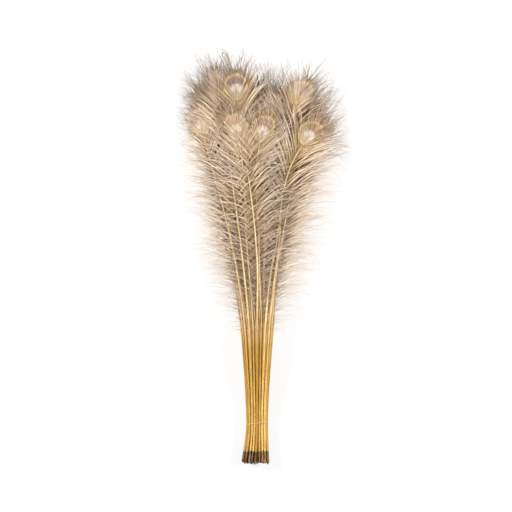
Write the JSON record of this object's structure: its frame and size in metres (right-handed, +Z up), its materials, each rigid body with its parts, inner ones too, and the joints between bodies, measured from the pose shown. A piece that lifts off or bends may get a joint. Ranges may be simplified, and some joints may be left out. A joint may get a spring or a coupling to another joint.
{
  "type": "tied bunch of peacock feathers",
  "caption": "Tied bunch of bleached peacock tail feathers with pale eyes, lying flat, its bare golden quills bound by a thread.",
  "frame": {"origin": "on the surface that the bunch lies on, under the middle of its bounding box", "axes": "+Y along the bunch from the quill ends to the feather tips, +X across it to the right of a viewer who looks down with the tips pointing away, +Z up"},
  "size_m": [0.3488, 0.8359, 0.0611],
  "materials": {
    "feather": "matte",
    "thread": "matte"
  },
  "bodies": {
    "root": {"feather_01": "feather", "feather_02": "feather", "feather_03": "feather", "feather_04": "feather", "feather_05": "feather", "feather_06": "feather", "feather_07": "feather", "feather_08": "feather", "feather_09": "feather", "feather_10": "feather", "feather_11": "feather", "feather_12": "feather", "feather_13": "feather", "feather_14": "feather", "feather_15": "feather", "feather_16": "feather", "feather_17": "feather", "feather_18": "feather", "feather_19": "feather", "feather_20": "feather", "feather_21": "feather", "feather_22": "feather", "feather_23": "feather", "feather_24": "feather", "feather_25": "feather", "feather_26": "feather", "feather_27": "feather", "feather_28": "feather", "feather_29": "feather", "feather_30": "feather", "feather_31": "feather", "feather_32": "feather", "feather_33": "feather", "feather_34": "feather", "feather_35": "feather", "feather_36": "feather", "feather_37": "feather", "feather_38": "feather", "feather_39": "feather", "feather_40": "feather", "feather_41": "feather", "feather_42": "feather", "feather_43": "feather", "feather_44": "feather", "feather_45": "feather", "feather_46": "feather", "feather_47": "feather", "feather_48": "feather", "feather_49": "feather", "feather_50": "feather", "binding_thread": "thread"}
  },
  "joints": []
}
